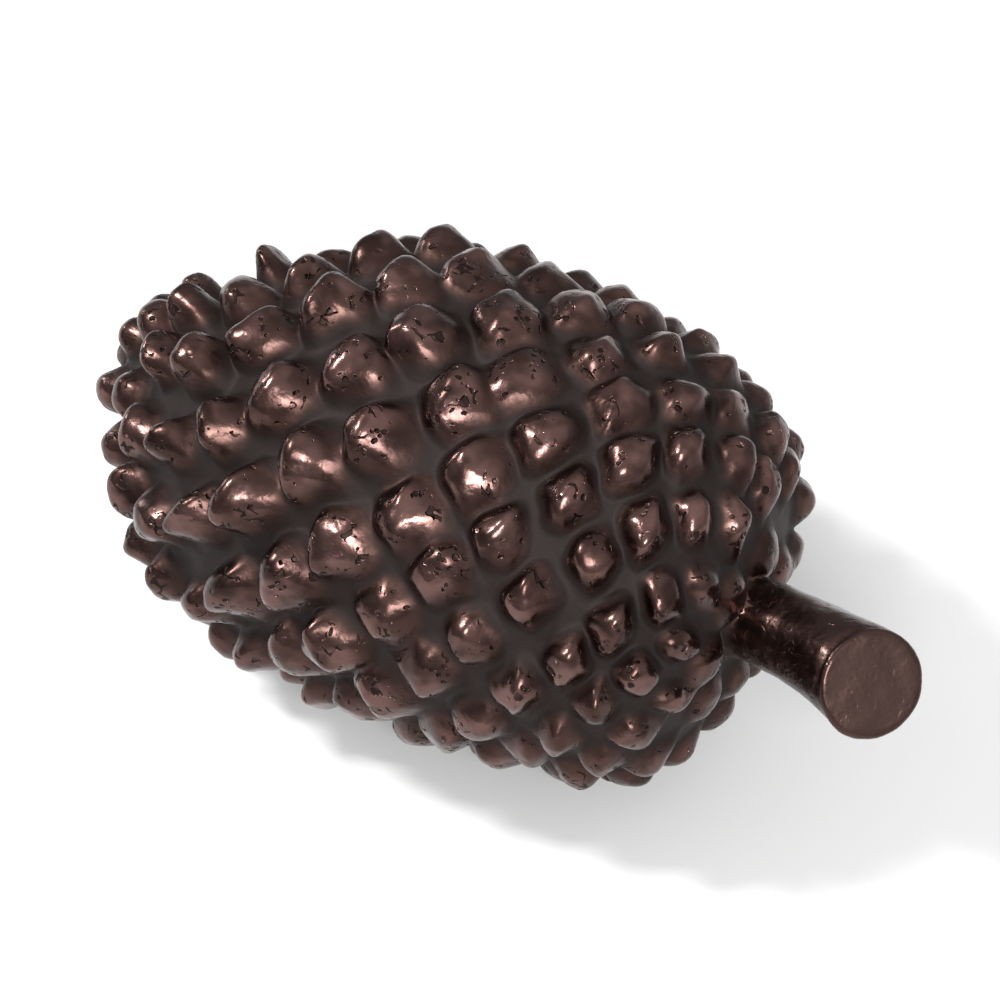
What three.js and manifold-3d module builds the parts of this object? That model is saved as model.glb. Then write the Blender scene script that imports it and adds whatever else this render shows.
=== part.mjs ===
// A pine cone cast in one piece of bronze, lying on its side.
// Millimetres. The cone's axis runs along X, tip towards -X and stem towards +X, with +Z up.
// Z = 0 is the surface that the cone lies on, and X = Y = 0 is the middle of its box.

import * as THREE from 'three';
import * as BufferGeometryUtils from 'three/addons/utils/BufferGeometryUtils.js';
import Module from 'manifold-3d';

// The scales stand on a spiral lattice. One step of p and one step of q each lead to a
// neighbouring scale nearer the tip, round the cone in opposite senses, and the place
// (p - TURN, q + ROWS) is the place (p, q) again, one full turn further round.
const ROWS = 12;
const TURN = 14;
const STEP_ANGLE = 15.5;
const START_ANGLE = 106;
const TWIST = [0.2, 0.88, -0.36];

// The rank of a scale is its place along the axis, in steps of p, from the stem to the tip.
const RANK_OF_Q = TURN / ROWS;
const RANK_STEM = -7.3;
const RANK_TIP = 11.2;

// The body under the scales, and how the scales stand on it: rank, distance along the axis
// and radius of the valley floor, angle between a scale and the tipward axis, and height.
const PROFILE = [
  { rank: -7.3, along: 47.2, radius: 6.5, angle: 176, height: 2.4 },
  { rank: -6.6, along: 46.6, radius: 12.6, angle: 170, height: 2.8 },
  { rank: -6.0, along: 45.6, radius: 17.2, angle: 161, height: 3.1 },
  { rank: -5.0, along: 43.2, radius: 22.6, angle: 143, height: 3.6 },
  { rank: -4.0, along: 39.6, radius: 26.4, angle: 123, height: 4.0 },
  { rank: -2.0, along: 29.8, radius: 30.4, angle: 103, height: 4.6 },
  { rank: 0.0, along: 17.5, radius: 33.8, angle: 86, height: 5.4 },
  { rank: 2.0, along: 3.5, radius: 35.0, angle: 74, height: 6.6 },
  { rank: 4.0, along: -12.6, radius: 33.2, angle: 65, height: 7.8 },
  { rank: 6.0, along: -29.0, radius: 28.0, angle: 57, height: 8.8 },
  { rank: 8.0, along: -45.6, radius: 19.6, angle: 50, height: 8.8 },
  { rank: 9.5, along: -57.0, radius: 11.4, angle: 39, height: 8.2 },
  { rank: 10.6, along: -64.5, radius: 5.4, angle: 22, height: 7.2 },
  { rank: 11.2, along: -67.5, radius: 1.0, angle: 6, height: 6.0 },
];

// The axis bows a little, so both ends lie off the middle, towards -Y and -Z.
const BOW = 6.5;
const BOW_LENGTH = 64;
const BOW_MIDDLE = 0.4;
const BOW_ANGLE = 36.7;

// Where the axis lies in the part's own frame.
const AXIS_HEIGHT = 37.6;
const AXIS_FORWARD = -2.0;
const AXIS_ALONG = -5.1;

// The scales differ a little from each other, by seeded draws.
const SEED = 3.3;
const CORNER_DRIFT = 0.09;
const HEIGHT_SPREAD = 0.12;
const LEAN_SPREAD = 4;
const SIDE_SPREAD = 0.08;
const PEAK_SPREAD = 0.03;
const ROUND_SPREAD = 0.3;

// A soft keel runs across each scale from side to side, a little tipward of its middle.
const KEEL = 0.16;
const KEEL_PLACE = 0.05;
const KEEL_WIDTH = 0.2;

// Valleys meet the scales with this small fillet.
const FILLET = 0.35;

// Points across one scale, from edge to edge of its place in the lattice.
const ACROSS = [-0.5, -0.36, -0.14, 0.06, 0.3];

// The stem grows out of the stem end, bends up and forward, and flares to a sawn face.
const STEM_ROOT = new THREE.Vector3(43, 0, 0.5);
const STEM_BEND = new THREE.Vector3(61, 0, 1.5);
const STEM_END = new THREE.Vector3(73.5, -5.8, 10.1);
const STEM_FACE = new THREE.Vector3(0.65, -0.45, 0.61).normalize();
const STEM_NECK = 5.5;
const STEM_ROOT_FLARE = 1.8;
const STEM_END_FLARE = 2.9;
const STEM_SIDES = 20;
const STEM_RINGS = 10;

const clamp = (value, low, high) => Math.min(Math.max(value, low), high);

const smooth = (value) => {
  const x = clamp(value, 0, 1);
  return x * x * (3 - 2 * x);
};

// A smooth curve through one column of the profile.
function profileAt(rank, column) {
  const knots = PROFILE;
  const last = knots.length - 1;
  const at = clamp(rank, knots[0].rank, knots[last].rank);
  let i = 0;
  while (i < last - 1 && at >= knots[i + 1].rank) i += 1;
  const slope = (k) => {
    const before = knots[Math.max(k - 1, 0)];
    const after = knots[Math.min(k + 1, last)];
    return (after[column] - before[column]) / (after.rank - before.rank);
  };
  const span = knots[i + 1].rank - knots[i].rank;
  const u = (at - knots[i].rank) / span;
  const u2 = u * u;
  const u3 = u2 * u;
  return (
    (2 * u3 - 3 * u2 + 1) * knots[i][column] +
    (u3 - 2 * u2 + u) * span * slope(i) +
    (3 * u2 - 2 * u3) * knots[i + 1][column] +
    (u3 - u2) * span * slope(i + 1)
  );
}

// A seeded draw between -1 and 1 for the scale (p, q), the same for every name of its place.
function draw(p, q, kind) {
  const turns = Math.floor(q / ROWS);
  const value = Math.sin((p + TURN * turns) * 127.1 + (q - ROWS * turns) * 311.7 + kind * 74.7 + SEED);
  const scaled = value * 43758.5453;
  return (scaled - Math.floor(scaled)) * 2 - 1;
}

// The angle round the axis, in radians, of any place in the lattice.
function angleAt(p, q) {
  const s = (p + RANK_OF_Q * q) / 10;
  const stepOfQ = (TURN * STEP_ANGLE - 360) / ROWS;
  const even = THREE.MathUtils.degToRad(START_ANGLE + STEP_ANGLE * p + stepOfQ * q);
  return even - (TWIST[0] * s ** 2 + TWIST[1] * s ** 3 + TWIST[2] * s ** 4);
}

// The corners of the places drift, and what lies between them drifts with them.
function drift(p, q, a, b, kind) {
  const u = smooth(a + 0.5);
  const v = smooth(b + 0.5);
  const near = draw(p, q, kind) * (1 - u) + draw(p + 1, q, kind) * u;
  const far = draw(p, q + 1, kind) * (1 - u) + draw(p + 1, q + 1, kind) * u;
  return CORNER_DRIFT * (near * (1 - v) + far * v);
}

// How high the scale (p, q) stands at the place (a, b) within it, each from -0.5 to 0.5.
// Near the stem the scales are rhombic pads that fill their places; towards the tip they
// are rounded fingers that stand apart, with a steep front and a longer back.
function heightAt(p, q, a, b) {
  const rank = p + RANK_OF_Q * q;
  const tipward = clamp((rank + 7) / 16, 0, 1);
  const groove = 0.02 + 0.05 * tipward;

  const peakA = 0.02 + 0.03 * tipward + PEAK_SPREAD * draw(p, q, 3);
  const peakB = 0.02 + 0.03 * tipward + PEAK_SPREAD * draw(p, q, 4);
  const reach = (place, peak) => {
    const room = place > peak ? 0.5 - groove - peak : 0.5 - groove + peak;
    return Math.abs(place - peak) / room;
  };
  const square = 4.2 - 1.8 * tipward;
  const pad = (reach(a, peakA) ** square + reach(b, peakB) ** square) ** (1 / square);

  const forward = a + b - 0.06 - 0.05 * draw(p, q, 3);
  const sideways = b - a - 0.06 * draw(p, q, 4);
  const length = forward > 0 ? 0.44 : 0.6;
  const width = 0.76;
  const oval = ((Math.abs(forward) / length) ** 2.2 + (Math.abs(sideways) / width) ** 2.2) ** (1 / 2.2);

  const finger = smooth((rank - 0.5) / 5.5);
  const out = pad * (1 - finger) + oval * finger;
  const roundness = 2.6 - 0.5 * tipward + ROUND_SPREAD * draw(p, q, 5);
  const dome = clamp(1 - out ** roundness, 0, 1) ** (0.68 - 0.14 * tipward);
  const keel = 1 + KEEL * (Math.exp(-(((forward - KEEL_PLACE) / KEEL_WIDTH) ** 2)) - 0.5);

  const tall = profileAt(rank, 'height') * (1 + HEIGHT_SPREAD * draw(p, q, 6));
  const ends = clamp((RANK_TIP - 0.3 - rank) / 0.8, 0, 1) * clamp((rank - RANK_STEM + 0.3) / 0.8, 0, 1);
  return Math.hypot(tall * ends * dome * keel, FILLET) - FILLET;
}

// How far the bowed axis lies off a straight line, along BOW_ANGLE, at a place along it.
function bowAt(along) {
  return BOW * (BOW_MIDDLE - (along / BOW_LENGTH) ** 2);
}

// The point of the cast surface at the place (a, b) within the scale (p, q).
function surfacePoint(p, q, a, b) {
  const pp = p + a + drift(p, q, a, b, 1);
  const qq = q + b + drift(p, q, a, b, 2);
  const rank = pp + RANK_OF_Q * qq;
  const floorAlong = profileAt(rank, 'along');
  const height = heightAt(p, q, a, b);
  const inner = clamp(1 - 4 * Math.max(a * a, b * b), 0, 1);
  const lean = profileAt(rank, 'angle') + LEAN_SPREAD * draw(p, q, 7) * inner;
  const angle = THREE.MathUtils.degToRad(lean);
  const radius = Math.max(profileAt(rank, 'radius'), 0) + height * Math.sin(angle);
  const round = angleAt(pp, qq) + (SIDE_SPREAD * draw(p, q, 8) * height) / Math.max(radius, 5);
  const bow = bowAt(floorAlong);
  const bowAngle = THREE.MathUtils.degToRad(BOW_ANGLE);
  return new THREE.Vector3(
    floorAlong - height * Math.cos(angle),
    radius * Math.cos(round) + bow * Math.cos(bowAngle),
    radius * Math.sin(round) + bow * Math.sin(bowAngle),
  );
}

// The scaly body: lines of points along p, side by side in q, joined into triangles, with
// the ragged line ends gathered to one point at the tip and one under the stem.
function coneGeometry() {
  const steps = ACROSS.length;
  const lineCount = ROWS * steps;
  const points = [];
  const lines = [];
  for (let j = 0; j < lineCount; j += 1) {
    const shift = RANK_OF_Q * (j / steps - 0.5) - 0.5;
    const first = Math.ceil(steps * (RANK_STEM - shift));
    const last = Math.floor(steps * (RANK_TIP - shift));
    lines.push({ first, last, start: points.length - first });
    for (let i = first; i <= last; i += 1) {
      const a = ACROSS[((i % steps) + steps) % steps];
      const b = ACROSS[j % steps];
      points.push(surfacePoint(Math.floor(i / steps), Math.floor(j / steps), a, b));
    }
  }
  // One turn on, the first line comes again, TURN scales further back.
  const back = TURN * steps;
  const { first, last, start } = lines[0];
  lines.push({ first: first - back, last: last - back, start: start + back });

  const triangles = [];
  const stemRing = [];
  const tipRing = [];
  for (let j = 0; j < lineCount; j += 1) {
    const here = lines[j];
    const next = lines[j + 1];
    const low = Math.max(here.first, next.first);
    const high = Math.min(here.last, next.last);
    for (let i = next.first; i < low; i += 1) {
      triangles.push(here.start + low, next.start + i, next.start + i + 1);
    }
    for (let i = low; i < high; i += 1) {
      triangles.push(here.start + i, next.start + i + 1, here.start + i + 1);
      triangles.push(here.start + i, next.start + i, next.start + i + 1);
    }
    for (let i = high; i < here.last; i += 1) {
      triangles.push(here.start + i, next.start + high, here.start + i + 1);
    }
    stemRing.push(here.start + here.first);
    tipRing.push(here.start + here.last);
  }
  gather(points, triangles, stemRing, false);
  gather(points, triangles, tipRing, true);

  const geometry = new THREE.BufferGeometry();
  geometry.setFromPoints(points);
  geometry.setIndex(triangles);
  return geometry;
}

// Close a ring of points with a fan to their mean.
function gather(points, triangles, ring, atTip) {
  const mean = new THREE.Vector3();
  ring.forEach((index) => mean.add(points[index]));
  points.push(mean.divideScalar(ring.length));
  ring.forEach((index, k) => {
    const following = ring[(k + 1) % ring.length];
    if (atTip) triangles.push(points.length - 1, index, following);
    else triangles.push(points.length - 1, following, index);
  });
}

// The stem: a turned, flared bar, bent along a curve, with its last part turned to the cut.
function stemGeometry() {
  const outline = [new THREE.Vector2(0, 0)];
  for (let i = 0; i <= STEM_RINGS; i += 1) {
    const s = i / STEM_RINGS;
    const rootFlare = STEM_ROOT_FLARE * Math.max(0, 1 - s / 0.3) ** 2;
    const endFlare = STEM_END_FLARE * Math.max(0, (s - 0.35) / 0.65) ** 1.7;
    outline.push(new THREE.Vector2(STEM_NECK + rootFlare + endFlare, s));
  }
  outline.push(new THREE.Vector2(0, 1));
  const geometry = new THREE.LatheGeometry(outline, STEM_SIDES);

  const curve = new THREE.QuadraticBezierCurve3(STEM_ROOT, STEM_BEND, STEM_END);
  const up = new THREE.Vector3(0, 0, 1);
  const place = geometry.getAttribute('position');
  const point = new THREE.Vector3();
  for (let i = 0; i < place.count; i += 1) {
    point.fromBufferAttribute(place, i);
    const s = clamp(point.y, 0, 1);
    const cut = Math.max(0, (s - 0.5) / 0.5) ** 1.5;
    const axis = curve.getTangent(s).lerp(STEM_FACE, cut).normalize();
    const side = new THREE.Vector3().crossVectors(up, axis).normalize();
    const other = new THREE.Vector3().crossVectors(axis, side);
    const at = curve.getPoint(s).addScaledVector(side, point.z).addScaledVector(other, point.x);
    place.setXYZ(i, at.x, at.y, at.z);
  }
  return geometry;
}

// The box of everything under the surface that the cone lies on.
function undergroundGeometry() {
  const depth = 40;
  const geometry = new THREE.BoxGeometry(400, 400, depth);
  geometry.translate(0, 0, -AXIS_HEIGHT - depth / 2);
  return geometry;
}

const wasm = await Module();
wasm.setup();

function toSolid(geometry) {
  const bare = geometry.clone();
  bare.deleteAttribute('normal');
  bare.deleteAttribute('uv');
  const merged = BufferGeometryUtils.mergeVertices(bare, 1e-5);
  return new wasm.Manifold(
    new wasm.Mesh({
      numProp: 3,
      vertProperties: new Float32Array(merged.getAttribute('position').array),
      triVerts: new Uint32Array(merged.getIndex().array),
    }),
  );
}

function fromSolid(solid) {
  const mesh = solid.getMesh();
  const geometry = new THREE.BufferGeometry();
  geometry.setAttribute('position', new THREE.BufferAttribute(mesh.vertProperties, 3));
  geometry.setIndex(new THREE.BufferAttribute(mesh.triVerts, 1));
  geometry.computeVertexNormals();
  return geometry;
}

function patinatedBronze() {
  return new THREE.MeshStandardMaterial({ color: 0x5c4339, metalness: 1, roughness: 0.4 });
}

function pineCone() {
  const casting = toSolid(coneGeometry()).add(toSolid(stemGeometry()));
  const resting = casting.subtract(toSolid(undergroundGeometry()));
  const mesh = new THREE.Mesh(fromSolid(resting), patinatedBronze());
  mesh.name = 'pine_cone';
  mesh.position.set(AXIS_ALONG, AXIS_FORWARD, AXIS_HEIGHT);
  return mesh;
}

const part = new THREE.Group();
part.add(pineCone());

export default part;
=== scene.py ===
# A pine cone cast in one piece of bronze, lying on its side on a pale table.
#
# The cone's scales stand on a spiral lattice and rise from the body's surface in one skin, as
# they do on a casting: broad pads near the stem, fingers towards the tip. A place in the
# lattice is (p, q). Its rank, p + q * TURN / ROWS, grows from the stem to the tip.
# Sizes are in millimetres and become metres where the mesh is made.

import math

import bpy
import numpy as np
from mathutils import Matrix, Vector, kdtree, noise

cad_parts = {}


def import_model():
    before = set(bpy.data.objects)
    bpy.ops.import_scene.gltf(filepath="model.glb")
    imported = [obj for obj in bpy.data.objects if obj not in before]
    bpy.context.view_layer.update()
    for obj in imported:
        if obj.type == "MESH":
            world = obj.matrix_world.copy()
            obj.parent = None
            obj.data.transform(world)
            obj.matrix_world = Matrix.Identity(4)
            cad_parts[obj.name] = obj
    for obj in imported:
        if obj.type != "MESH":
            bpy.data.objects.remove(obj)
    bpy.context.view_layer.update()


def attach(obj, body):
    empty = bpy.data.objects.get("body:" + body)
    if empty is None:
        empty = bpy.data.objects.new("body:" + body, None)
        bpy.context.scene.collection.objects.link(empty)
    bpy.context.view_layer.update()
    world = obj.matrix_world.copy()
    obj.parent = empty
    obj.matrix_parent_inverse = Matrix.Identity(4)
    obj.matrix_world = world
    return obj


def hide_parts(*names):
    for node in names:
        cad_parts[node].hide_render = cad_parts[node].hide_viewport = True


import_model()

MM = 0.001

# The spiral lattice that the scales stand on: how many rows run each way, the angle in
# degrees from one place to the next and of the first, how the rows twist along the cone, and
# the ranks of one step of q, of the stem's root and of the tip. Steps are measured over this
# far each way, and round a body of at least this radius.
ROWS = 12
TURN = 14
STEP_ANGLE = 15.5
START_ANGLE = 106
TWIST = (0.2, 0.88, -0.36)
RANK_OF_Q = TURN / ROWS
RANK_STEM = -7.3
RANK_TIP = 11.2
HALF_STEP = 0.3
NARROWEST = 3

# Rank, distance along the axis and radius of the valley floor, angle between a scale and
# the tipward axis, the scale's height, and half its head's length and width.
PROFILE = np.array([
    (-7.3, 47.2, 6.5, 176, 1.6, 4.0, 3.0),
    (-6.6, 46.8, 12.6, 170, 2.3, 4.0, 4.0),
    (-6.0, 46.0, 17.4, 161, 2.8, 4.0, 5.0),
    (-5.0, 43.5, 24.0, 143, 3.7, 5.0, 6.0),
    (-4.0, 39.6, 28.2, 124, 4.0, 5.2, 6.2),
    (-2.0, 29.8, 32.4, 106, 4.3, 5.0, 6.0),
    (0.0, 17.5, 34.6, 93, 4.6, 4.8, 6.0),
    (2.0, 3.5, 35.2, 82, 5.4, 4.5, 5.8),
    (4.0, -12.6, 34.6, 73, 6.5, 4.1, 5.4),
    (6.0, -29.0, 30.7, 66, 7.4, 3.8, 4.8),
    (8.0, -45.6, 21.9, 57, 7.4, 3.5, 3.8),
    (9.5, -56.6, 12.2, 44, 6.7, 3.2, 2.7),
    (10.6, -63.9, 5.9, 26, 6.0, 2.8, 1.7),
    (11.2, -66.6, 1.0, 8, 4.6, 2.4, 1.3),
])
ALONG, RADIUS, ANGLE, HEIGHT, LENGTH, WIDTH = 1, 2, 3, 4, 5, 6

# The bow of the axis: a long bend, a short sag on the tip's half, and the two ends lifted.
BOW = 6.5
BOW_LENGTH = 64
BOW_MIDDLE = 0.3
BOW_SHIFT = 8
BOW_ANGLE = math.radians(36.7)
SAG = 2.2
SAG_ALONG = -33
SAG_LENGTH = 13
TIP_LIFT = 5.9
TIP_LIFT_FROM = 40
TIP_LIFT_LENGTH = 25
STEM_LIFT = 1.3
STEM_LIFT_LENGTH = 30

# Where the axis lies on the table.
AXIS_PLACE = (-5.1, -1.6, 37.6)

# The seeded differences between the scales.
SEED = 3.3
PLACE_SPREAD = 0.07
HEIGHT_SPREAD = 0.14
SIZE_SPREAD = 0.07
SIDE_SPREAD = 0.04
LEAN_SPREAD = 5
ROUND_SPREAD = 0.4
TOP_SLOPE = 0.03

# Waves that bend the outlines of the scales: how far, how often round the cone, how fast
# along it, and where they start. They die out where the body is narrower than this radius,
# or they would tear its ends.
WAVES = ((0.03, 9, 3.7, 0.4), (0.022, 16, -4.9, 2.1))
WAVE_RADIUS = 20

# A pad: how far its highest point lies from its middle, half its side in the lattice, and
# how square its corners are.
PEAK = 0.06
PAD_HALF = 0.385
PAD_CORNERS = 2.7

# A finger: the rank where pads start to turn into fingers, over how many ranks, how much
# longer its foot is on the stem's side, how much narrower, how far the narrowing goes, and
# over how many millimetres the head turns into the foot.
FINGER_START = -1
FINGER_RANKS = 5
FOOT_LENGTH = 1.5
FOOT_NARROWING = 0.15
FOOT_REACH = 7
FOOT_TURN = 6

# How suddenly a scale's side falls: a pad's, what a finger adds, and what its foot takes off.
# FALL leaves half of the height at the scale's edge.
PAD_ROUND = 2.9
FINGER_ROUND = 1.0
FOOT_ROUND = 1.6
FALL = 0.7

# The keel across each scale: its height, its half width, the share of the height that it has
# and may gain or lose, and how far it turns. Then how much wider a head is than its foot,
# how many times that the fingers add, and by which rank.
KEEL = 0.2
KEEL_WIDTH = 1.6
KEEL_SPREAD = 0.6
KEEL_TURN = 0.5
HEAD_WIDTH = 0.08
HEAD_WIDENING = 1.6
HEAD_RANKS = 6

# How high the broad floor of the valleys lies, as a share of a scale's height, how much of
# that it sinks, and over how many ranks it rises from the stem's root.
VALLEY = 0.18
VALLEY_SINK = 0.6
ROOT_RANKS = 0.9

# How sharply neighbouring scales meet, and the least weight that is divided by.
MEETING = 3
LEAST = 1e-9

# The small round scales that close both ends, ring by ring: rank, how many, the first's
# angle, height and half width. The lattice's own scales stand between these ranks. Then how
# much the places, sizes and heights differ in a ring.
END_RINGS = (
    (11.15, 1, 0.0, 3.0, 3.4),
    (10.35, 5, 0.5, 5.7, 3.4),
    (9.4, 8, 0.2, 7.0, 3.5),
    (-6.65, 7, 0.1, 3.0, 4.0),
)
LATTICE_RANKS = (-5.95, 8.75)
END_PLACE_SPREAD = 0.12
END_SIZE_SPREAD = 0.12
END_HEIGHT_SPREAD = 0.15

# Points across one scale, and the most triangles that the finished casting has.
POINTS_ACROSS = 30
MOST_TRIANGLES = 188000

# The stem: the curve it follows, the way its sawn face looks, its radii with the share of
# its length where it is thinnest, its worn rim, and the rings of its mesh.
STEM_ROOT = np.array((41.6, 0.8, 3.2))
STEM_BEND = np.array((60.0, 0.6, 6.2))
STEM_END = np.array((73.5, -5.8, 10.1))
STEM_FACE = np.array((0.65, -0.45, 0.61))
STEM_NECK = 6.7
STEM_WAIST = 0.3
STEM_ROOT_FLARE = 2.4
STEM_END_FLARE = 1.8
STEM_SIDES = 110
STEM_RINGS = 80
STEM_RIM = 0.9
RIM_RINGS = 6
FACE_RINGS = 14

# Unevenness of the cast surface: how deep, and how far from one dent to the next. Then the
# share of it that the valleys and the stem have.
DENTS = ((0.28, 5.0), (0.14, 2.4), (0.05, 1.1))
VALLEY_DENTS = 0.25
STEM_DENTS = 0.8

# The stem's foot is dark: patina, and painted shade of the crevice where the stem meets the scales. How
# dark, and where along the stem it ends.
STEM_FOOT_PATINA_AND_SHADE = 0.15
STEM_FOOT_END = 9.5
STEM_FOOT_FADE = 4

# The camera: how far it stands round the cone and over it, where it stands from the axis's
# own zero, and its lens.
VIEW_TURN = math.radians(31.4)
VIEW_RISE = math.radians(48.9)
VIEW_FROM = (191.8, -306.7, 417.3)
LENS = 124.2


def smooth(value):
    """A soft step from 0 to 1."""
    x = np.clip(value, 0, 1)
    return x * x * (3 - 2 * x)


def profile_at(rank, column):
    """A smooth curve through one column of the profile."""
    knots, values = PROFILE[:, 0], PROFILE[:, column]
    at = np.clip(rank, knots[0], knots[-1])
    i = np.clip(np.searchsorted(knots, at, side="right") - 1, 0, len(knots) - 2)
    before = np.maximum(np.arange(len(knots)) - 1, 0)
    after = np.minimum(np.arange(len(knots)) + 1, len(knots) - 1)
    slope = (values[after] - values[before]) / (knots[after] - knots[before])
    span = knots[i + 1] - knots[i]
    u = (at - knots[i]) / span
    start = (2 * u**3 - 3 * u**2 + 1) * values[i] + (u**3 - 2 * u**2 + u) * span * slope[i]
    end = (3 * u**2 - 2 * u**3) * values[i + 1] + (u**3 - u**2) * span * slope[i + 1]
    return start + end


def draw(p, q, kind):
    """A seeded draw between -1 and 1 for the scale (p, q)."""
    turns = np.floor(q / ROWS)
    value = np.sin((p + TURN * turns) * 127.1 + (q - ROWS * turns) * 311.7 + kind * 74.7 + SEED)
    scaled = value * 43758.5453
    return (scaled - np.floor(scaled)) * 2 - 1


def angle_at(p, q):
    """The angle round the axis of any place in the lattice."""
    s = (p + RANK_OF_Q * q) / 10
    step_of_q = (TURN * STEP_ANGLE - 360) / ROWS
    even = np.radians(START_ANGLE + STEP_ANGLE * p + step_of_q * q)
    return even - (TWIST[0] * s**2 + TWIST[1] * s**3 + TWIST[2] * s**4)


def step_length(rank):
    """How far one rank goes over the valley floor."""
    ahead, behind = rank + HALF_STEP, rank - HALF_STEP
    along = profile_at(ahead, ALONG) - profile_at(behind, ALONG)
    outward = profile_at(ahead, RADIUS) - profile_at(behind, RADIUS)
    return np.hypot(along, outward) / (2 * HALF_STEP)


def scale_at(x, y, p, q):
    """What the scale (p, q) does at the lattice place (x, y): its height there, how near its
    crest it is, and how far from its middle."""
    a = x - p - PLACE_SPREAD * draw(p, q, 1)
    b = y - q - PLACE_SPREAD * draw(p, q, 2)
    rank = p + RANK_OF_Q * q
    size = 1 + SIZE_SPREAD * draw(p, q, 3)
    forward = (a + RANK_OF_Q * b) * step_length(rank)
    sideways = (angle_at(x - a, y - b) - angle_at(x, y)) * np.maximum(profile_at(rank, RADIUS), NARROWEST)
    half = np.where(np.stack([a, b]) > PEAK, PAD_HALF - PEAK, PAD_HALF + PEAK)
    half_a = half[0] + SIDE_SPREAD * draw(p, q, 13)
    half_b = half[1] + SIDE_SPREAD * draw(p, q, 14)
    sides = np.abs((a - PEAK) / half_a) ** PAD_CORNERS + np.abs((b - PEAK) / half_b) ** PAD_CORNERS
    pad = sides ** (1 / PAD_CORNERS)
    length = profile_at(rank, LENGTH) * np.where(forward > 0, 1, FOOT_LENGTH)
    width = profile_at(rank, WIDTH) * (1 - FOOT_NARROWING * smooth(-forward / FOOT_REACH))
    head = ((np.abs(forward) / length) ** 2 + (np.abs(sideways) / width) ** 2) ** 0.5
    finger = smooth((rank - FINGER_START) / FINGER_RANKS)
    out = (pad * (1 - finger) + head * finger) / size
    foot = finger * (1 - smooth(forward / FOOT_TURN + 0.5))
    roundness = PAD_ROUND + FINGER_ROUND * finger - FOOT_ROUND * foot + ROUND_SPREAD * draw(p, q, 5)
    dome = np.exp(-FALL * out**roundness)
    turned = forward + KEEL_TURN * draw(p, q, 9) * sideways
    raised = KEEL * (KEEL_SPREAD + KEEL_SPREAD * draw(p, q, 10))
    keel = 1 + raised * (np.exp(-((turned / KEEL_WIDTH) ** 2)) - 0.5)
    slope = 1 + TOP_SLOPE * (draw(p, q, 11) * forward + draw(p, q, 12) * sideways)
    kept = (rank > LATTICE_RANKS[0]) & (rank < LATTICE_RANKS[1])
    tall = kept * profile_at(rank, HEIGHT) * (1 + HEIGHT_SPREAD * draw(p, q, 6))
    return tall * dome * keel * slope, dome, a, b


def end_scales(rank, around):
    """Height and crest of the small round scales that close the ends."""
    total, crest = np.zeros(len(rank)), np.zeros(len(rank))
    along, radius = profile_at(rank, ALONG), profile_at(rank, RADIUS)
    for ring, count, first, tall, wide in END_RINGS:
        centre_along, centre_radius = profile_at(ring, ALONG), profile_at(ring, RADIUS)
        for k in range(count):
            centre = first + 2 * math.pi * (k + END_PLACE_SPREAD * draw(ring, k, 1)) / count
            apart = radius**2 + centre_radius**2 - 2 * radius * centre_radius * np.cos(around - centre)
            distance = np.sqrt(np.maximum((along - centre_along) ** 2 + apart, 0))
            half = wide * (1 + END_SIZE_SPREAD * draw(ring, k, 2))
            dome = np.exp(-FALL * (distance / half) ** 3)
            total += (tall * (1 + END_HEIGHT_SPREAD * draw(ring, k, 3)) * dome) ** MEETING
            crest = np.maximum(crest, dome)
    return total ** (1 / MEETING), crest


def bow_at(along):
    """How far the axis lies off a straight line."""
    bow = BOW * (BOW_MIDDLE - ((along - BOW_SHIFT) / BOW_LENGTH) ** 2)
    sag = SAG * np.exp(-(((along - SAG_ALONG) / SAG_LENGTH) ** 2))
    tip_lift = TIP_LIFT * smooth((-along - TIP_LIFT_FROM) / TIP_LIFT_LENGTH)
    return bow - sag + tip_lift + STEM_LIFT * smooth(along / STEM_LIFT_LENGTH)


def surface_points(x, y):
    """Points of the cast surface, and how near each is to its scale's crest."""
    around, rank = angle_at(x, y), x + RANK_OF_Q * y
    fade = np.clip(profile_at(rank, RADIUS) / WAVE_RADIUS, 0, 1)
    bent_x = x + fade * sum(far * np.sin(k * around + m * rank + start) for far, k, m, start in WAVES)
    bent_y = y + fade * sum(far * np.cos(k * around - m * rank + start) for far, k, m, start in WAVES)
    total, crest, lean, a_sum, b_sum = (np.zeros(len(x)) for _ in range(5))
    for i in (-1, 0, 1, 2):
        for j in (-1, 0, 1, 2):
            p, q = np.floor(bent_x) + i, np.floor(bent_y) + j
            height, dome, a, b = scale_at(bent_x, bent_y, p, q)
            share = np.maximum(height, 0) ** MEETING
            total += share
            crest = np.maximum(crest, np.where(height > 0, dome, 0))
            lean += share * draw(p, q, 7)
            a_sum += share * a
            b_sum += share * b
    weight = np.maximum(total, LEAST)

    end_height, end_crest = end_scales(rank, around)
    end_total = end_height**MEETING
    height = (total + end_total) ** (1 / MEETING)
    valley = VALLEY * profile_at(rank, HEIGHT) * smooth((rank - RANK_STEM) / ROOT_RANKS)
    height = (height**4 + valley**4) ** 0.25 - VALLEY_SINK * valley
    widening = HEAD_WIDTH * (1 + HEAD_WIDENING * smooth(rank / HEAD_RANKS))
    wider = widening * crest**2 / np.maximum(weight, end_total)
    lean = lean * total / (total + end_total + LEAST)
    crest = np.maximum(crest, end_crest)

    x = x + wider * a_sum
    y = y + wider * b_sum
    rank = x + RANK_OF_Q * y
    around = angle_at(x, y)
    along = profile_at(rank, ALONG)
    angle = np.radians(profile_at(rank, ANGLE) + LEAN_SPREAD * crest * lean / weight)
    radius = np.maximum(profile_at(rank, RADIUS), 0) + height * np.sin(angle)
    bow = bow_at(along)
    points = np.stack([
        along - height * np.cos(angle),
        radius * np.cos(around) + bow * math.cos(BOW_ANGLE),
        radius * np.sin(around) + bow * math.sin(BOW_ANGLE),
    ], axis=-1)
    return points, crest


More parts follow.
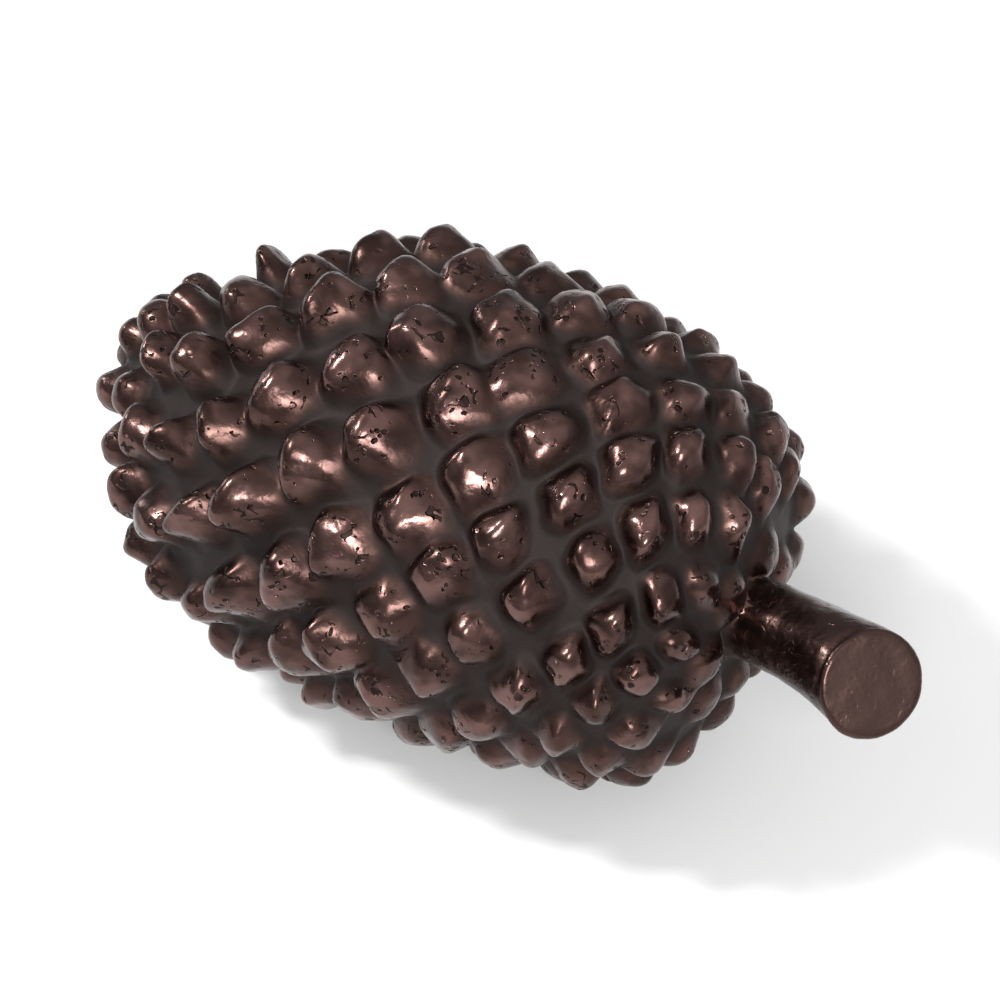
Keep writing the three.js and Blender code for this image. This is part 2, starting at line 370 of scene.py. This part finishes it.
def cone_surface():
    """The scaly body as points, triangles and crest values: lines of points along p, side
    by side in q, with the ragged ends gathered to one point each."""
    steps = POINTS_ACROSS
    line_count = ROWS * steps
    places, lines, count = [], [], 0
    for j in range(line_count):
        y = j / steps - 0.5
        shift = RANK_OF_Q * y - 0.5
        first = math.ceil(steps * (RANK_STEM - shift))
        last = math.floor(steps * (RANK_TIP - shift))
        i = np.arange(first, last + 1)
        places.append(np.stack([i / steps - 0.5, np.full(len(i), y)], 1))
        lines.append((first, last, count - first))
        count += len(i)
    places = np.concatenate(places)
    points, crests = surface_points(places[:, 0], places[:, 1])
    # The last line meets the first one, TURN places further back.
    back = TURN * steps
    first, last, start = lines[0]
    lines.append((first - back, last - back, start + back))

    faces, stem_ring, tip_ring = [], [], []
    for j in range(line_count):
        first, last, here = lines[j]
        next_first, next_last, following = lines[j + 1]
        low, high = max(first, next_first), min(last, next_last)
        i = np.arange(next_first, low)
        faces.append(np.stack([np.full(len(i), here + low), following + i, following + i + 1], 1))
        i = np.arange(low, high)
        faces.append(np.stack([here + i, following + i + 1, here + i + 1], 1))
        faces.append(np.stack([here + i, following + i, following + i + 1], 1))
        i = np.arange(high, last)
        faces.append(np.stack([here + i, np.full(len(i), following + high), here + i + 1], 1))
        stem_ring.append(here + first)
        tip_ring.append(here + last)
    stem_ring, tip_ring = np.array(stem_ring), np.array(tip_ring)
    ends = np.stack([points[stem_ring].mean(0), points[tip_ring].mean(0)])
    faces.append(np.stack([np.full(line_count, count), np.roll(stem_ring, -1), stem_ring], 1))
    faces.append(np.stack([np.full(line_count, count + 1), tip_ring, np.roll(tip_ring, -1)], 1))
    return np.concatenate([points, ends]), np.concatenate(faces), np.concatenate([crests, np.zeros(2)])


def unit(vector):
    """The same direction, one long."""
    return vector / np.linalg.norm(vector, axis=-1, keepdims=True)


def stem_surface():
    """The stem as points and triangles: a flared bar bent along a curve, its sawn face
    with a worn rim."""
    s = np.concatenate([np.linspace(0, 1, STEM_RINGS + 1), np.ones(RIM_RINGS + FACE_RINGS)])[:, None]
    centre = (1 - s) ** 2 * STEM_ROOT + 2 * s * (1 - s) * STEM_BEND + s**2 * STEM_END
    tangent = unit((1 - s) * (STEM_BEND - STEM_ROOT) + s * (STEM_END - STEM_BEND))
    # From its middle on, the bar turns until it ends square to its sawn face.
    cut = np.clip((s - 0.5) / 0.5, 0, 1) ** 1.5
    axis = unit(tangent * (1 - cut) + unit(STEM_FACE) * cut)
    side = unit(np.cross(np.array((0.0, 0.0, 1.0)), axis))
    other = np.cross(axis, side)
    radius = STEM_NECK + STEM_ROOT_FLARE * np.clip(1 - s / STEM_WAIST, 0, 1) ** 2
    radius = radius + STEM_END_FLARE * np.clip((s - STEM_WAIST) / (1 - STEM_WAIST), 0, 1) ** 1.6
    end_radius = radius[-1, 0]
    bend = np.linspace(0, math.pi / 2, RIM_RINGS + 1)[1:]
    worn = end_radius - STEM_RIM * (1 - np.cos(bend))
    inner = np.linspace(end_radius - STEM_RIM, 0, FACE_RINGS + 2)[1:-1]
    radius[STEM_RINGS + 1:, 0] = np.concatenate([worn, inner])
    # The last rings stand back, to leave room for the worn rim.
    back = np.zeros(len(s))
    back[:STEM_RINGS + 1] = STEM_RIM * np.clip((s[:STEM_RINGS + 1, 0] - 0.9) / 0.1, 0, 1)
    back[STEM_RINGS + 1:STEM_RINGS + 1 + RIM_RINGS] = STEM_RIM * (1 - np.sin(bend))
    centre = centre - axis * back[:, None]
    turn = np.linspace(0, 2 * math.pi, STEM_SIDES, endpoint=False)[None, :]
    rings = (
        centre[:, None]
        + (radius * np.cos(turn))[..., None] * side[:, None]
        + (radius * np.sin(turn))[..., None] * other[:, None]
    )
    points = np.concatenate([rings.reshape(-1, 3), STEM_ROOT[None], STEM_END[None]])
    ring = np.arange(STEM_SIDES)
    around = (ring + 1) % STEM_SIDES
    faces = []
    for k in range(len(s) - 1):
        low, high = k * STEM_SIDES, (k + 1) * STEM_SIDES
        faces.append(np.stack([low + ring, low + around, high + around], 1))
        faces.append(np.stack([low + ring, high + around, high + ring], 1))
    root, end = len(points) - 2, len(points) - 1
    top = (len(s) - 1) * STEM_SIDES
    faces.append(np.stack([np.full(STEM_SIDES, root), around, ring], 1))
    faces.append(np.stack([np.full(STEM_SIDES, end), top + ring, top + around], 1))
    return points, np.concatenate(faces)


def mesh_object(name, points, faces):
    """A piece made of triangles."""
    mesh = bpy.data.meshes.new(name)
    mesh.vertices.add(len(points))
    mesh.vertices.foreach_set("co", np.asarray(points, np.float32).ravel())
    mesh.loops.add(faces.size)
    mesh.loops.foreach_set("vertex_index", np.asarray(faces, np.int32).ravel())
    mesh.polygons.add(len(faces))
    mesh.polygons.foreach_set("loop_start", np.arange(0, faces.size, 3, dtype=np.int32))
    mesh.update(calc_edges=True)
    piece = bpy.data.objects.new(name, mesh)
    bpy.context.scene.collection.objects.link(piece)
    return piece


def apply_modifiers(piece):
    """Replace a piece's mesh by what its modifiers make of it."""
    graph = bpy.context.evaluated_depsgraph_get()
    made = bpy.data.meshes.new_from_object(piece.evaluated_get(graph))
    piece.modifiers.clear()
    old = piece.data
    piece.data = made
    bpy.data.meshes.remove(old)


def hammered(points, faces, depth_at):
    """Points moved along their normals by low, uneven dents, as the sand of a mould leaves them."""
    corner = points[faces]
    normal = np.cross(corner[:, 1] - corner[:, 0], corner[:, 2] - corner[:, 0])
    normals = np.zeros_like(points)
    for k in range(3):
        np.add.at(normals, faces[:, k], normal)
    normals /= np.maximum(np.linalg.norm(normals, axis=1, keepdims=True), 1e-12)
    move = np.zeros(len(points))
    for depth, spacing in DENTS:
        places = points / spacing
        move += depth * np.array([noise.noise(Vector(place)) for place in places])
    return points + normals * (move * depth_at)[:, None]


def casting():
    """The whole casting: body and stem joined, laid on the table, thinned, and each place told
    how far its patina is rubbed, with painted shade added on the stem's foot."""
    shift = np.array(AXIS_PLACE)
    points, faces, crests = cone_surface()
    points = hammered(points, faces, VALLEY_DENTS + (1 - VALLEY_DENTS) * crests) + shift
    # The lowest scales are trimmed flat where the cone lies.
    points[:, 2] = np.maximum(points[:, 2], 0)
    cone = mesh_object("pine_cone_casting", points * MM, faces)
    stem_points, stem_faces = stem_surface()
    stem_points = hammered(stem_points, stem_faces, np.full(len(stem_points), STEM_DENTS)) + shift
    stem = mesh_object("stem_bar", stem_points * MM, stem_faces)
    union = cone.modifiers.new("stem", "BOOLEAN")
    union.operation = "UNION"
    union.solver = "MANIFOLD"
    union.object = stem
    apply_modifiers(cone)
    bpy.data.objects.remove(stem)
    triangles = sum(len(f.vertices) - 2 for f in cone.data.polygons)
    thin = cone.modifiers.new("thin", "DECIMATE")
    thin.ratio = min(1, MOST_TRIANGLES / triangles)
    apply_modifiers(cone)
    cone.data.polygons.foreach_set("use_smooth", [True] * len(cone.data.polygons))

    known = np.concatenate([points, stem_points]) * MM
    on_stem = np.concatenate([np.zeros(len(points)), np.ones(len(stem_points))])
    # The sawn face is the stem's last rings and its end point, which comes after the root's.
    sawn = np.zeros(len(known))
    sawn[len(points) + (STEM_RINGS + RIM_RINGS) * STEM_SIDES:] = 1
    sawn[-2] = 0
    # The stem's crest value stays low near its root. That is dark patina, and painted shade of the
    # crevice where the stem meets the scales.
    from_root = np.linalg.norm(stem_points - shift - STEM_ROOT, axis=1)
    rubbed_and_unshaded = smooth((from_root - STEM_FOOT_END) / STEM_FOOT_FADE)
    crests = np.concatenate([crests, STEM_FOOT_PATINA_AND_SHADE + (1 - STEM_FOOT_PATINA_AND_SHADE) * rubbed_and_unshaded])
    store_values(cone.data, known, {"crest": crests, "stem": on_stem, "sawn": sawn})
    return cone


def store_values(mesh, points, values):
    """Give each vertex of the finished mesh the values of the nearest worked-out points."""
    tree = kdtree.KDTree(len(points))
    for index, point in enumerate(points):
        tree.insert(point, index)
    tree.balance()
    nearest = np.array([[near[1] for near in tree.find_n(v.co, 3)] for v in mesh.vertices])
    for name, value in values.items():
        layer = mesh.attributes.new(name, "FLOAT", "POINT")
        layer.data.foreach_set("value", value[nearest].mean(1).astype(np.float32))


def linear(hex_colour):
    """An sRGB hex colour as linear red, green, blue and alpha."""
    parts = [int(hex_colour[i:i + 2], 16) / 255 for i in (1, 3, 5)]
    return [c / 12.92 if c <= 0.04045 else ((c + 0.055) / 1.055) ** 2.4 for c in parts] + [1.0]


def add_node(tree, kind, settings=None, out=0, **inputs):
    """Add a node and return one of its outputs. Settings are its properties. Inputs are values,
    or sockets to link, by the socket's name or by _ and its number."""
    node = tree.nodes.new(kind)
    for name, value in (settings or {}).items():
        setattr(node, name, value)
    for name, value in inputs.items():
        socket = node.inputs[int(name[1:]) if name[1:].isdigit() else name.replace("_", " ")]
        if isinstance(value, bpy.types.NodeSocket):
            tree.links.new(value, socket)
        else:
            socket.default_value = value
    return node.outputs[out]


def patinated_bronze():
    """Bronze cast in sand, darkened brown, then rubbed: matt in the valleys, satin on the
    scales, bright on the crests where the patina has worn, with casting pits."""
    material = bpy.data.materials.new("cast bronze, rubbed dark patina")
    material.use_nodes = True
    tree = material.node_tree
    shader = tree.nodes["Principled BSDF"]
    clouds, cells, sum_up = "ShaderNodeTexNoise", "ShaderNodeTexVoronoi", "ShaderNodeMath"
    step, mix, known = "ShaderNodeMapRange", "ShaderNodeMix", "ShaderNodeAttribute"
    soft = {"interpolation_type": "SMOOTHSTEP"}
    tint = {"data_type": "RGBA"}
    plus, minus, times = {"operation": "ADD"}, {"operation": "SUBTRACT"}, {"operation": "MULTIPLY"}
    most, unsigned = {"operation": "MAXIMUM"}, {"operation": "ABSOLUTE"}
    place = add_node(tree, "ShaderNodeTexCoord", out="Object")
    crest = add_node(tree, known, {"attribute_name": "crest"}, "Fac")
    stem = add_node(tree, known, {"attribute_name": "stem"}, "Fac")
    sawn = add_node(tree, known, {"attribute_name": "sawn"}, "Fac")
    # The stem was filed after casting, so hardly a pit is left on it.
    filed = add_node(tree, sum_up, times, _0=stem, _1=0.92)
    unfiled = add_node(tree, sum_up, minus, _0=1.0, _1=filed)

    # Three faults of the casting: gas pits 0.9 mm wide in clusters 5 mm apart, a few holes
    # 1.5 mm wide on the crests, and worm-like scars along the lines where a 2.6 mm cloud
    # crosses its middle. The pits' places are bent, which makes their outlines ragged.
    ragged = add_node(tree, clouds, out="Color", Vector=place, Scale=1000 / 1.6, Detail=0.0)
    bent = add_node(tree, mix, {"data_type": "VECTOR"}, 1, _0=0.0012, _4=place, _5=ragged)
    pores = add_node(tree, cells, out="Distance", Vector=bent, Scale=1000 / 1.5)
    holes = add_node(tree, cells, out="Distance", Vector=bent, Scale=1000 / 4.6)
    lines = add_node(tree, clouds, Vector=place, Scale=1000 / 2.6, Detail=1.0, Roughness=0.6)
    lines = add_node(tree, sum_up, minus, _0=lines, _1=0.5)
    lines = add_node(tree, sum_up, unsigned, _0=lines)

    # For each, the shape and where its wall starts and ends, how far its clusters lie apart
    # in millimetres and where they thin out, and how high on a scale it is found.
    faults = (
        (pores, (0.36, 0.22), 5.0, (0.55, 0.62), (0.5, 0.75)),
        (holes, (0.2, 0.13), 12.0, (0.5, 0.56), (0.7, 0.85)),
        (lines, (0.045, 0.025), 3.4, (0.6, 0.66), (0.4, 0.6)),
    )
    pits = 0.0
    for shape, wall, spacing, crowd, height in faults:
        pit = add_node(tree, step, soft, _0=shape, _1=wall[0], _2=wall[1], _3=0.0, _4=1.0)
        cluster = add_node(tree, clouds, Vector=place, Scale=1000 / spacing, Detail=1.0, Roughness=0.5)
        cluster = add_node(tree, step, soft, _0=cluster, _1=crowd[0], _2=crowd[1], _3=0.0, _4=1.0)
        raised = add_node(tree, step, soft, _0=crest, _1=height[0], _2=height[1], _3=0.0, _4=1.0)
        pit = add_node(tree, sum_up, times, _0=pit, _1=cluster)
        pit = add_node(tree, sum_up, times, _0=pit, _1=raised)
        pits = add_node(tree, sum_up, most, _0=pits, _1=pit)
    pits = add_node(tree, sum_up, times, _0=pits, _1=unfiled)

    # The rubbing cloth reaches the scales and stops at an uneven edge, wavy over 3 mm, above
    # the valleys. On the crests it wore the patina thin in patches of 6 mm.
    uneven = add_node(tree, clouds, Vector=place, Scale=1000 / 3.0, Detail=2.0, Roughness=0.5)
    uneven = add_node(tree, sum_up, times, _0=uneven, _1=0.3)
    edge = add_node(tree, sum_up, plus, _0=crest, _1=uneven)
    reached = add_node(tree, step, soft, _0=edge, _1=0.38, _2=0.72, _3=0.0, _4=1.0)
    patches = add_node(tree, clouds, Vector=place, Scale=1000 / 6.0, Detail=2.0, Roughness=0.6)
    patches = add_node(tree, step, soft, _0=patches, _1=0.35, _2=0.65, _3=0.0, _4=1.0)
    worn = add_node(tree, step, soft, _0=crest, _1=0.55, _2=0.95, _3=0.0, _4=1.0)
    worn = add_node(tree, sum_up, times, _0=worn, _1=patches)
    worn = add_node(tree, sum_up, times, _0=worn, _1=unfiled)

    # Two browns drift into each other over 9 mm. The valleys and pits are darker, and the
    # stem, its sawn face and the worn crests are lighter.
    drift = add_node(tree, clouds, Vector=place, Scale=1000 / 9.0, Detail=2.0, Roughness=0.6)
    drift = add_node(tree, step, soft, _0=drift, _1=0.35, _2=0.65, _3=0.0, _4=1.0)
    brown = add_node(tree, mix, tint, 2, _0=drift, _6=linear("#312421"), _7=linear("#41302c"))
    # This dark valley brown also covers the stem's foot, as patina and as painted shade of the crevice
    # there.
    brown = add_node(tree, mix, tint, 2, _0=reached, _6=linear("#241e1d"), _7=brown)
    bared = add_node(tree, sum_up, times, _0=stem, _1=0.45)
    bared = add_node(tree, sum_up, most, _0=sawn, _1=bared)
    brown = add_node(tree, mix, tint, 2, _0=bared, _6=brown, _7=linear("#483834"))
    brown = add_node(tree, mix, tint, 2, _0=worn, _6=brown, _7=linear("#624a46"))
    colour = add_node(tree, mix, tint, 2, _0=pits, _6=brown, _7=linear("#261e1c"))

    # Satin where it was rubbed, matt in the valleys and the pits, dull on the sawn face.
    rough = add_node(tree, step, soft, _0=edge, _1=0.5, _2=0.85, _3=0.62, _4=0.28)
    polish = add_node(tree, sum_up, times, _0=worn, _1=0.08)
    rough = add_node(tree, sum_up, minus, _0=rough, _1=polish)
    for dull, amount in ((sawn, 0.16), (pits, 0.25)):
        duller = add_node(tree, sum_up, times, _0=dull, _1=amount)
        rough = add_node(tree, sum_up, plus, _0=rough, _1=duller)

    # Thick brown oxide in the valleys hides half of the metal.
    metal = add_node(tree, step, soft, _0=edge, _1=0.3, _2=0.7, _3=0.5, _4=1.0)

    # Sand grains are about 0.2 mm, too fine to show, so they are drawn at 0.7 mm. Shallow
    # dents lie 2 mm apart, and the pits go in.
    grain = add_node(tree, clouds, Vector=place, Scale=1000 / 0.7, Detail=1.0, Roughness=0.5)
    grain = add_node(tree, sum_up, times, _0=grain, _1=0.12)
    dents = add_node(tree, clouds, Vector=place, Scale=1000 / 2.0, Detail=1.0, Roughness=0.5)
    dents = add_node(tree, sum_up, times, _0=dents, _1=0.35)
    relief = add_node(tree, sum_up, plus, _0=grain, _1=dents)
    depth = add_node(tree, sum_up, times, _0=pits, _1=1.4)
    relief = add_node(tree, sum_up, minus, _0=relief, _1=depth)
    bump = add_node(tree, "ShaderNodeBump", Height=relief, Strength=1.0, Distance=0.0003)

    finish = {"Base Color": colour, "Roughness": rough, "Metallic": metal, "Normal": bump}
    for name, socket in finish.items():
        tree.links.new(socket, shader.inputs[name])
    # The oxide itself hardly shines.
    shader.inputs["Specular IOR Level"].default_value = 0.12
    return material


def floor():
    """The pale board that the cone lies on, wide enough that no edge shows from the photo's side."""
    mesh = bpy.data.meshes.new("table")
    half = 3.0
    corners = [(-half, -half, 0), (half, -half, 0), (half, half, 0), (-half, half, 0)]
    mesh.from_pydata(corners, [], [(0, 1, 2, 3)])
    table = bpy.data.objects.new("table", mesh)
    bpy.context.scene.collection.objects.link(table)
    material = bpy.data.materials.new("white matt board")
    material.use_nodes = True
    shader = material.node_tree.nodes["Principled BSDF"]
    shader.inputs["Base Color"].default_value = linear("#c8c8c8")
    shader.inputs["Roughness"].default_value = 0.9
    mesh.materials.append(material)


def soft_light(name, place, size, power, aim=(0, 0, 0.04)):
    """A square soft light, in metres and watts, that looks at the cone."""
    light = bpy.data.lights.new(name, "AREA")
    light.size = size
    light.energy = power
    lamp = bpy.data.objects.new(name, light)
    bpy.context.scene.collection.objects.link(lamp)
    lamp.location = place
    lamp.rotation_euler = (Vector(place) - Vector(aim)).to_track_quat("Z", "Y").to_euler()


def camera():
    """The camera, on the photo's side."""
    back = Vector((
        math.sin(VIEW_TURN) * math.cos(VIEW_RISE),
        -math.cos(VIEW_TURN) * math.cos(VIEW_RISE),
        math.sin(VIEW_RISE),
    ))
    lens = bpy.data.cameras.new("camera")
    lens.sensor_width = 36
    lens.lens = LENS
    eye = bpy.data.objects.new("camera", lens)
    bpy.context.scene.collection.objects.link(eye)
    eye.location = (Vector(VIEW_FROM) + Vector(AXIS_PLACE)) * MM
    eye.rotation_euler = back.to_track_quat("Z", "Y").to_euler()
    bpy.context.scene.camera = eye


def world():
    """A white room, brighter overhead than at the horizon, and brighter on the stem's side."""
    sky = bpy.data.worlds.new("white room")
    bpy.context.scene.world = sky
    sky.use_nodes = True
    tree = sky.node_tree
    way = add_node(tree, "ShaderNodeTexCoord", out="Generated")
    up = add_node(tree, "ShaderNodeSeparateXYZ", out="Z", Vector=way)
    right = add_node(tree, "ShaderNodeSeparateXYZ", out="X", Vector=way)
    overhead = add_node(tree, "ShaderNodeMapRange", _0=up, _1=0.1, _2=1.0, _3=0.5, _4=1.2)
    side = add_node(tree, "ShaderNodeMapRange", _0=right, _1=-0.8, _2=0.8, _3=0.62, _4=1.4)
    strength = add_node(tree, "ShaderNodeMath", {"operation": "MULTIPLY"}, _0=overhead, _1=side)
    tree.links.new(strength, tree.nodes["Background"].inputs["Strength"])
    tree.nodes["Background"].inputs["Color"].default_value = (1, 1, 1, 1)


camera()
world()
floor()
soft_light("key", place=(-0.48, -0.27, 0.78), size=0.13, power=10)
soft_light("front", place=(0.42, -0.56, 0.6), size=0.3, power=8)
soft_light("left", place=(-0.9, 0.1, 0.24), size=0.12, power=1.1)
bpy.context.scene.view_settings.view_transform = "Standard"

cone = casting()
cone.data.materials.clear()
cone.data.materials.append(patinated_bronze())
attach(cone, "root")
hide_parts("pine_cone")
